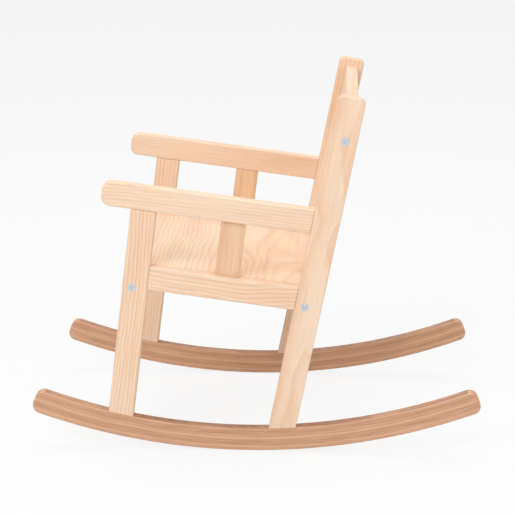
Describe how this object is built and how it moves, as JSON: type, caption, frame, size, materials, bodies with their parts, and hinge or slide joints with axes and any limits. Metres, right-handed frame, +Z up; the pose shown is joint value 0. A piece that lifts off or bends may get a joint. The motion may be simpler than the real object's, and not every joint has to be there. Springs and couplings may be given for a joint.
{
  "type": "miniature rocking chair",
  "caption": "Small wooden rocking chair with curved laminated rockers, board seat, flat armrests and a slatted back.",
  "frame": {"origin": "middle of the chair's plan box, on the surface under the rockers", "axes": "+Z up, the front of the chair faces -Y, the sitter's left is +X"},
  "size_m": [0.242, 0.4643, 0.3755],
  "materials": {
    "pine": "unfinished, sanded",
    "laminated_beech": "clear satin",
    "hardwood_dowel": "unfinished",
    "zinc_screw": "bright zinc"
  },
  "bodies": {
    "root": {"arm_leg_dowels": "hardwood_dowel", "arm_rear_dowels": "hardwood_dowel", "arm_slat_left": "pine", "arm_slat_right": "pine", "armrest_left": "pine", "armrest_right": "pine", "back_post_dowels": "hardwood_dowel", "back_post_left": "pine", "back_post_right": "pine", "back_rail": "pine", "back_rail_screws": "zinc_screw", "back_slat_1": "pine", "back_slat_2": "pine", "back_slat_3": "pine", "back_slat_4": "pine", "front_apron": "pine", "front_leg_dowels": "hardwood_dowel", "front_leg_left": "pine", "front_leg_right": "pine", "front_seat_screws": "zinc_screw", "rail_front_dowels": "hardwood_dowel", "rail_rear_dowels": "hardwood_dowel", "rear_apron": "pine", "rear_seat_screws": "zinc_screw", "rocker_left": "laminated_beech", "rocker_right": "laminated_beech", "seat_board_1": "pine", "seat_board_2": "pine", "side_rail_left": "pine", "side_rail_right": "pine"}
  },
  "joints": []
}
